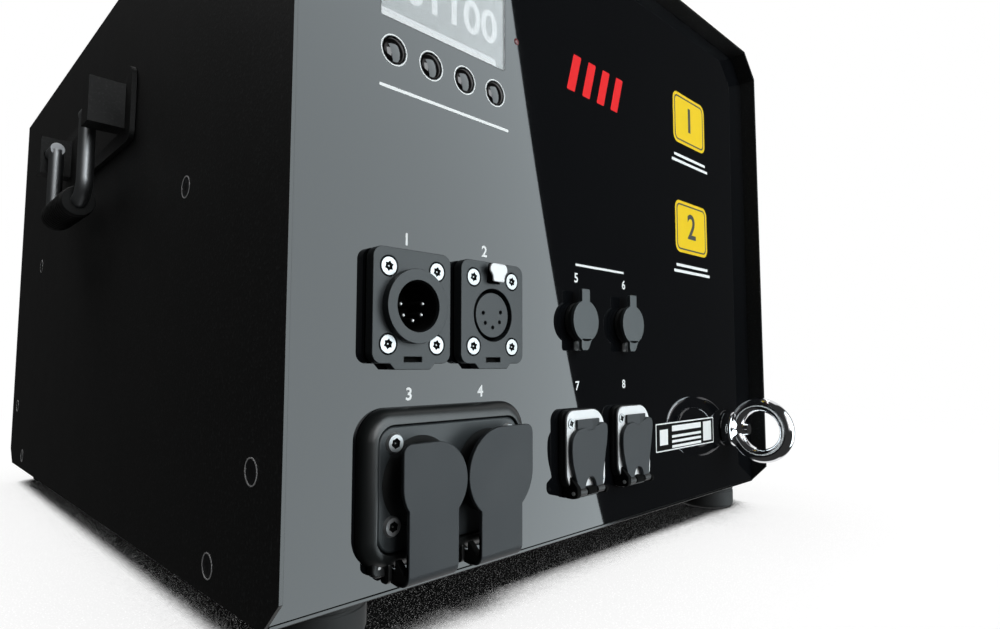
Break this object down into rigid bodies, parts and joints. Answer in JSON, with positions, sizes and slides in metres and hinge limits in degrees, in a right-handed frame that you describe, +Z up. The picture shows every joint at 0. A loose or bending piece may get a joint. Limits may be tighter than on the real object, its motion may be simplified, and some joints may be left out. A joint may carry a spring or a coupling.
{
  "type": "stage flame machine",
  "caption": "Floor-standing stage flame machine: a folded steel box with a connector panel, a display with keys, and a burner cup in its roof.",
  "frame": {"origin": "centre of the bounding box at the height of the feet's undersides", "axes": "+Z up, the connector panel faces -Y, +X to the right when looking at the panel"},
  "size_m": [0.3406, 0.4486, 0.2884],
  "materials": {
    "powder_coat": "fine-textured black powder coat",
    "gloss_panel": "deep gloss black",
    "rubber": "smooth matt, dark grey",
    "dark_plastic": "satin, dark grey",
    "nickel": "bright nickel plate",
    "chrome": "polished",
    "stainless": "brushed",
    "zinc_steel": "zinc plated, dull",
    "aluminium": "plain",
    "brass": "turned",
    "ceramic": "glazed",
    "tank_plastic": "natural white, waxy",
    "circuit_board": "green solder mask",
    "window": "clear pane over a lit display"
  },
  "bodies": {
    "casing": {"casing_cover": "powder_coat", "base_tray": "powder_coat", "rear_panel": "powder_coat", "handle_bracket_left": "powder_coat", "handle_bracket_right": "powder_coat", "front_panel": "gloss_panel", "foot_front_left": "rubber", "foot_front_right": "rubber", "foot_rear_left": "rubber", "foot_rear_right": "rubber", "ignition_lead_left": "rubber", "ignition_lead_right": "rubber", "ignition_transformer": "dark_plastic", "dmx_in_flange": "dark_plastic", "dmx_in_insert": "dark_plastic", "dmx_out_flange": "dark_plastic", "dmx_out_insert": "dark_plastic", "power_housing": "dark_plastic", "power_sockets": "dark_plastic", "pyro_socket_1": "dark_plastic", "pyro_socket_2": "dark_plastic", "arm_in_socket": "nickel", "arm_out_socket": "nickel", "safety_eye": "chrome", "top_deck": "stainless", "burner_cup": "stainless", "electrode_left": "stainless", "electrode_right": "stainless", "feed_line": "stainless", "nozzle_line": "stainless", "mid_bulkhead": "zinc_steel", "pump_motor": "zinc_steel", "power_supply": "aluminium", "accumulator": "aluminium", "nozzle_body": "brass", "nozzle_tip": "brass", "fuel_pump": "brass", "solenoid_valve": "brass", "insulator_left": "ceramic", "insulator_right": "ceramic", "fuel_tank": "tank_plastic", "control_board": "circuit_board", "display_board": "circuit_board", "display_window": "window"},
    "arm_in_cover": {"arm_in_cover": "dark_plastic"},
    "arm_out_cover": {"arm_out_cover": "dark_plastic"},
    "dmx_out_latch": {"dmx_out_latch": "nickel"},
    "filler_cap": {"filler_cap": "dark_plastic"},
    "handle_left": {"handle_left": "rubber"},
    "handle_right": {"handle_right": "rubber"},
    "menu_key_1": {"menu_key_1": "gloss_panel"},
    "menu_key_2": {"menu_key_2": "gloss_panel"},
    "menu_key_3": {"menu_key_3": "gloss_panel"},
    "menu_key_4": {"menu_key_4": "gloss_panel"},
    "power_in_cap": {"power_in_cap": "rubber"},
    "power_out_cap": {"power_out_cap": "rubber"},
    "pump_coupling": {"pump_coupling": "stainless"},
    "pyro_cap_1": {"pyro_cap_1": "rubber"},
    "pyro_cap_2": {"pyro_cap_2": "rubber"}
  },
  "joints": [
    {"name": "handle_left_swing", "type": "hinge", "parent": "casing", "child": "handle_left", "pos_m": [-0.1633, 0.01435, 0.196], "axis": [0, 1, 0], "range_deg": [0, 90]},
    {"name": "handle_right_swing", "type": "hinge", "parent": "casing", "child": "handle_right", "pos_m": [0.1633, 0.01435, 0.196], "axis": [0, -1, 0], "range_deg": [0, 90]},
    {"name": "filler_cap_turn", "type": "hinge", "parent": "casing", "child": "filler_cap", "pos_m": [0.095, 0.15505, 0.284], "axis": [0, 0, 1], "range_deg": [0, 90]},
    {"name": "pump_coupling_spin", "type": "hinge", "parent": "casing", "child": "pump_coupling", "pos_m": [0.085, 0.03875, 0.0477], "axis": [0, 1, 0], "continuous": true},
    {"name": "menu_key_1_press", "type": "slide", "parent": "casing", "child": "menu_key_1", "axis": [0, 1, 0], "range_m": [0, 0.0008], "stiffness_N_per_m": 600, "springref_m": -0.0008},
    {"name": "menu_key_2_press", "type": "slide", "parent": "casing", "child": "menu_key_2", "axis": [0, 1, 0], "range_m": [0, 0.0008], "stiffness_N_per_m": 600, "springref_m": -0.0008},
    {"name": "menu_key_3_press", "type": "slide", "parent": "casing", "child": "menu_key_3", "axis": [0, 1, 0], "range_m": [0, 0.0008], "stiffness_N_per_m": 600, "springref_m": -0.0008},
    {"name": "menu_key_4_press", "type": "slide", "parent": "casing", "child": "menu_key_4", "axis": [0, 1, 0], "range_m": [0, 0.0008], "stiffness_N_per_m": 600, "springref_m": -0.0008},
    {"name": "dmx_out_latch_press", "type": "slide", "parent": "casing", "child": "dmx_out_latch", "axis": [0, 1, 0], "range_m": [0, 0.002], "stiffness_N_per_m": 700, "springref_m": -0.001},
    {"name": "power_in_cap_flip", "type": "hinge", "parent": "casing", "child": "power_in_cap", "pos_m": [-0.1046, -0.19025, 0.0186], "axis": [1, 0, 0], "range_deg": [0, 95]},
    {"name": "power_out_cap_flip", "type": "hinge", "parent": "casing", "child": "power_out_cap", "pos_m": [-0.0754, -0.19025, 0.0186], "axis": [1, 0, 0], "range_deg": [0, 95]},
    {"name": "pyro_cap_1_flip", "type": "hinge", "parent": "casing", "child": "pyro_cap_1", "pos_m": [-0.01865, -0.18985, 0.0894], "axis": [1, 0, 0], "range_deg": [0, 100]},
    {"name": "pyro_cap_2_flip", "type": "hinge", "parent": "casing", "child": "pyro_cap_2", "pos_m": [0.01675, -0.18985, 0.0894], "axis": [1, 0, 0], "range_deg": [0, 100]},
    {"name": "arm_in_cover_flip", "type": "hinge", "parent": "casing", "child": "arm_in_cover", "pos_m": [-0.01825, -0.19345, 0.0313], "axis": [1, 0, 0], "range_deg": [0, 110], "stiffness_Nm_per_rad": 0.002, "springref_deg": -28.65},
    {"name": "arm_out_cover_flip", "type": "hinge", "parent": "casing", "child": "arm_out_cover", "pos_m": [0.01725, -0.19345, 0.0313], "axis": [1, 0, 0], "range_deg": [0, 110], "stiffness_Nm_per_rad": 0.002, "springref_deg": -28.65}
  ]
}
